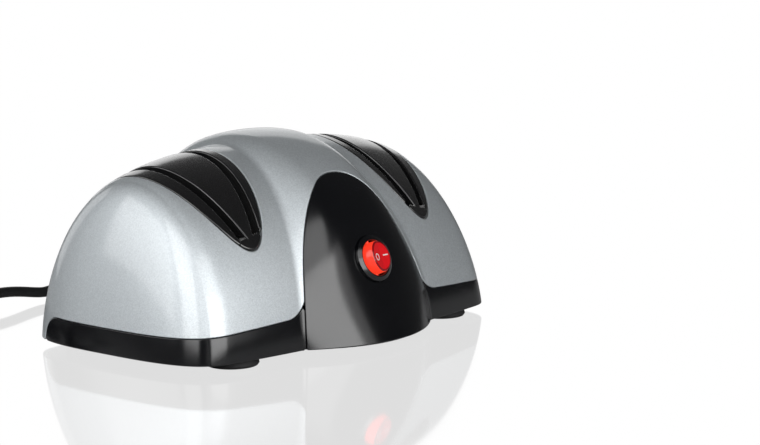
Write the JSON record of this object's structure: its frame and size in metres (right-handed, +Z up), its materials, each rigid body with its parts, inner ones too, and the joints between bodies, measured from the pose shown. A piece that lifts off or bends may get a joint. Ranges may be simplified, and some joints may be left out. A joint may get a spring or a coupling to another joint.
{
  "type": "electric knife sharpener",
  "caption": "Domed countertop electric knife sharpener: slanted blade slots over a coarse and a fine grinding wheel on one motor shaft, with a round rocker switch and a mains cord.",
  "frame": {"origin": "centre of the footprint of the housing at the table, under the feet", "axes": "+Z up, +X along the length to the fine wheel's end, the switch panel faces -Y"},
  "size_m": [0.2846, 0.2626, 0.0995],
  "materials": {
    "silver_shell": "metallic silver paint on plastic, satin",
    "black_plastic": "satin black",
    "guide_plastic": "satin black",
    "red_plastic": "glossy red",
    "rubber": "matt black",
    "zinc_steel": "zinc plated",
    "steel": "ground",
    "core_iron": "stamped laminations",
    "copper": "bare and enamelled copper",
    "brass": "plain",
    "ferrite": "matt, sintered",
    "carbon": "pressed carbon",
    "coarse_grit": "coarse abrasive grit, matt",
    "fine_grit": "fine abrasive grit, matt",
    "hub_plastic": "natural nylon",
    "board": "solder mask",
    "capacitor_sleeve": "shrink sleeve",
    "cord_sheath": "black sheath"
  },
  "bodies": {
    "housing": {"upper_shell": "silver_shell", "front_panel": "black_plastic", "base_tray": "black_plastic", "blade_guide_left": "guide_plastic", "blade_guide_right": "guide_plastic", "foot_front_left": "rubber", "foot_front_right": "rubber", "foot_rear_left": "rubber", "foot_rear_right": "rubber", "base_screw_front_left": "zinc_steel", "base_screw_front_right": "zinc_steel", "base_screw_rear_left": "zinc_steel", "base_screw_rear_right": "zinc_steel", "motor_can": "zinc_steel", "magnet_front": "ferrite", "magnet_rear": "ferrite", "brush_upper": "carbon", "brush_lower": "carbon", "motor_bell_left": "zinc_steel", "bearing_left": "brass", "motor_strap_left": "zinc_steel", "strap_screw_left_front": "zinc_steel", "strap_screw_left_rear": "zinc_steel", "motor_bell_right": "zinc_steel", "bearing_right": "brass", "motor_strap_right": "zinc_steel", "strap_screw_right_front": "zinc_steel", "strap_screw_right_rear": "zinc_steel", "switch_housing": "black_plastic", "switch_terminal_left": "brass", "switch_terminal_right": "brass", "circuit_board": "board", "capacitor": "capacitor_sleeve", "rectifier": "black_plastic", "board_screw_left": "zinc_steel", "board_screw_right": "zinc_steel", "strain_relief": "rubber", "cord_tail": "cord_sheath", "cord_clamp": "black_plastic", "clamp_screw_left": "zinc_steel", "clamp_screw_right": "zinc_steel", "lead_supply": "cord_sheath", "lead_switch": "cord_sheath", "mains_cord": "cord_sheath", "cord_coil": "cord_sheath", "cord_tie": "rubber", "plug_body": "cord_sheath", "plug_pin_left": "brass", "plug_pin_right": "brass"},
    "rotor": {"shaft": "steel", "armature_core": "core_iron", "armature_winding": "copper", "commutator": "copper", "wheel_hub_left": "hub_plastic", "coarse_wheel": "coarse_grit", "wheel_nut_left": "steel", "wheel_hub_right": "hub_plastic", "fine_wheel": "fine_grit", "wheel_nut_right": "steel"},
    "rocker": {"rocker": "red_plastic"}
  },
  "joints": [
    {"name": "rotor_spin", "type": "hinge", "parent": "housing", "child": "rotor", "pos_m": [0, 0.0021, 0.043], "axis": [1, 0, 0], "continuous": true},
    {"name": "rocker_tilt", "type": "hinge", "parent": "housing", "child": "rocker", "pos_m": [0, -0.06902, 0.04153], "axis": [0, 0.3708, 0.9287], "range_deg": [-22, 0]}
  ]
}
